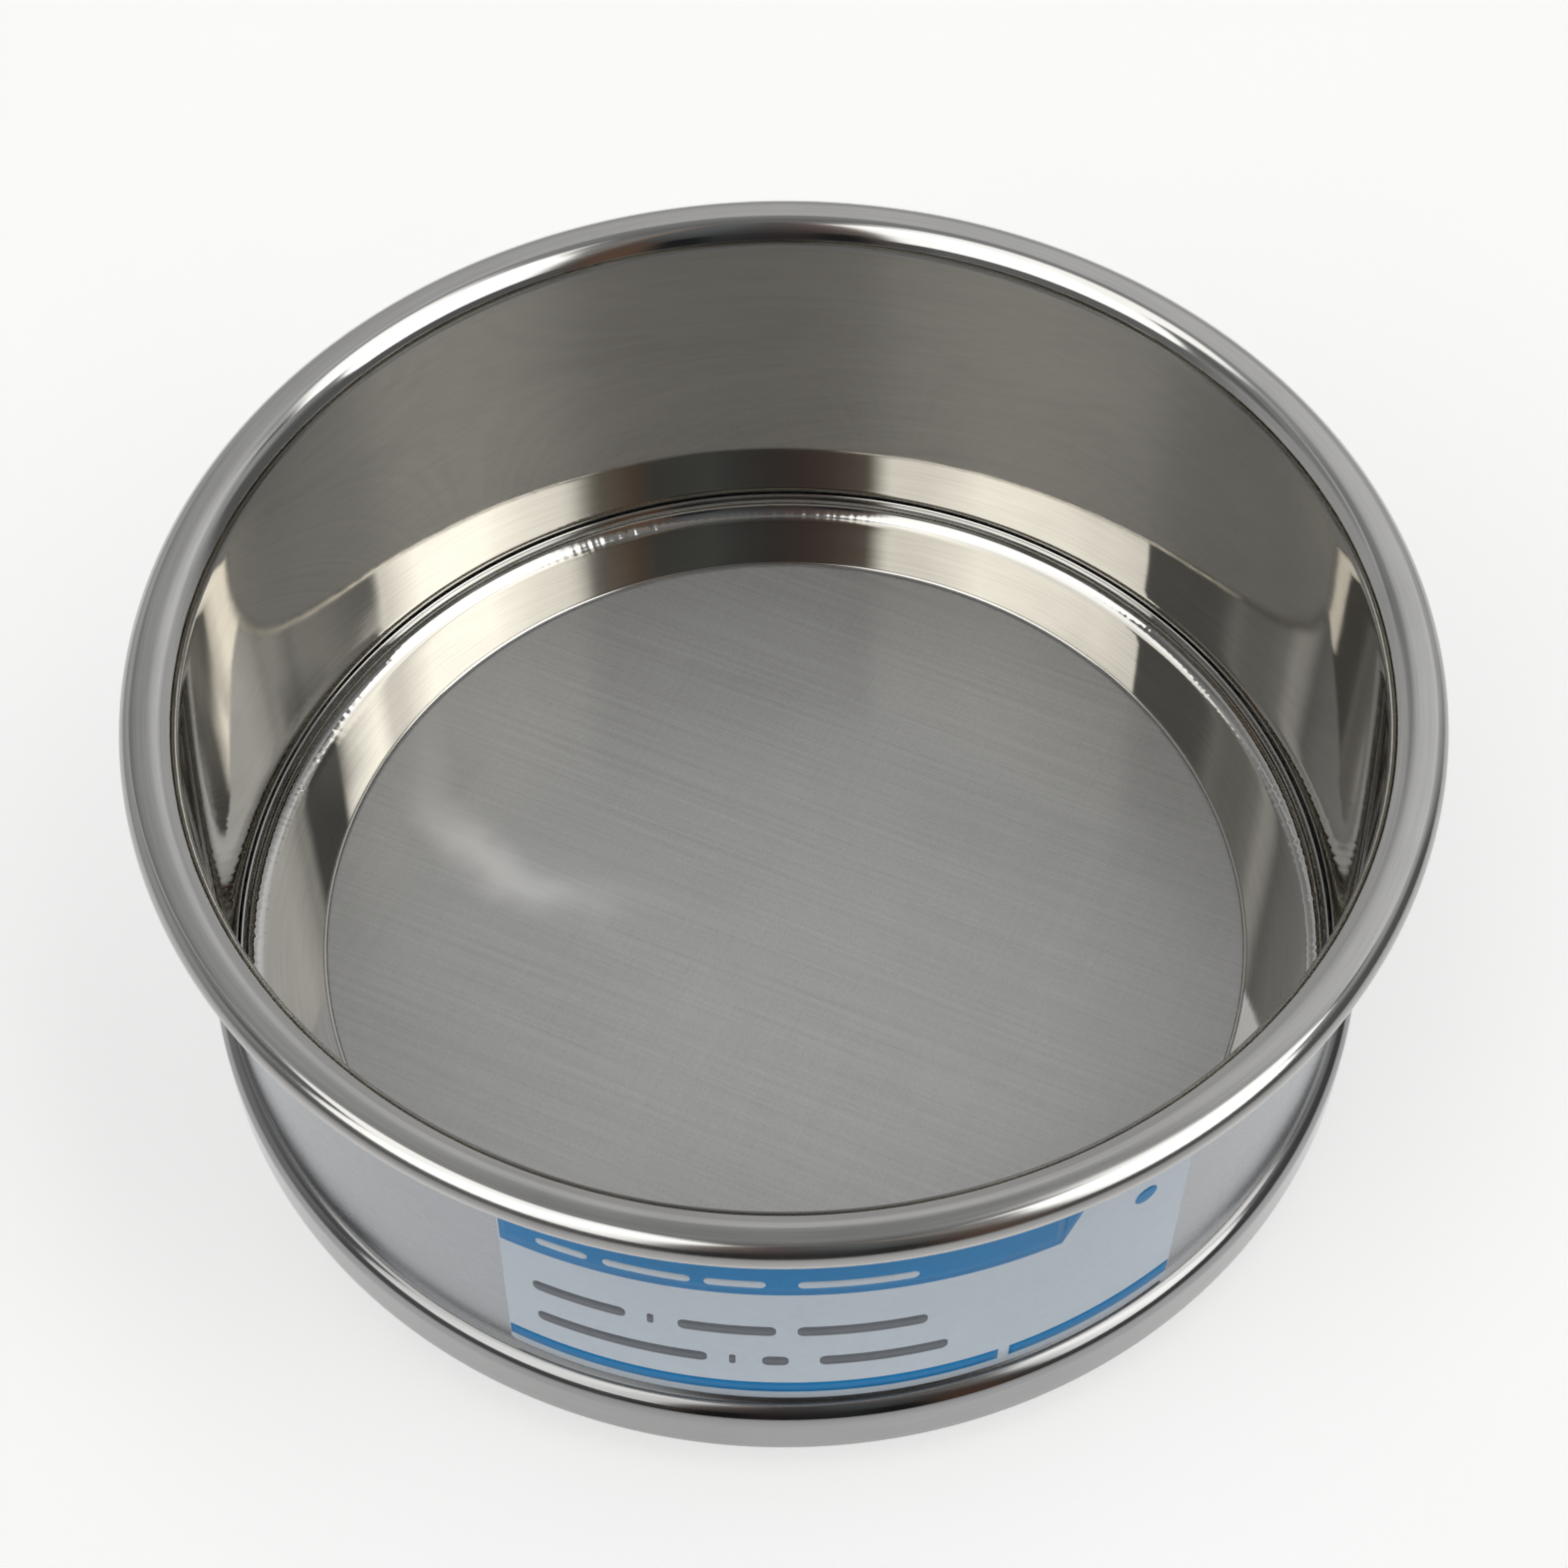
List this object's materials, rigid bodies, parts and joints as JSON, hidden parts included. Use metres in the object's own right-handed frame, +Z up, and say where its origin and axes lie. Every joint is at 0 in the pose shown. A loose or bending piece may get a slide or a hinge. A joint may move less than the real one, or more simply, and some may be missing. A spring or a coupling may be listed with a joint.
{
  "type": "test sieve",
  "caption": "Round stainless test sieve with a rolled rim, polished wall, clamped woven wire cloth, locating bead and nesting skirt.",
  "frame": {"origin": "on the sieve's axis, at the bottom edge of the nesting skirt", "axes": "+Z up along the sieve's axis, towards the rolled rim; the label faces -Y"},
  "size_m": [0.1112, 0.1112, 0.0457],
  "materials": {
    "frame_steel": "polished stainless sheet, bright inside and satin outside",
    "ring_steel": "polished stainless sheet",
    "wire_cloth": "satin, very fine woven stainless wire",
    "label_film": "printed film, white with blue bands"
  },
  "bodies": {
    "root": {"frame_shell": "frame_steel", "retaining_ring": "ring_steel", "backing_ring": "ring_steel", "sieve_cloth": "wire_cloth", "label": "label_film"}
  },
  "joints": []
}
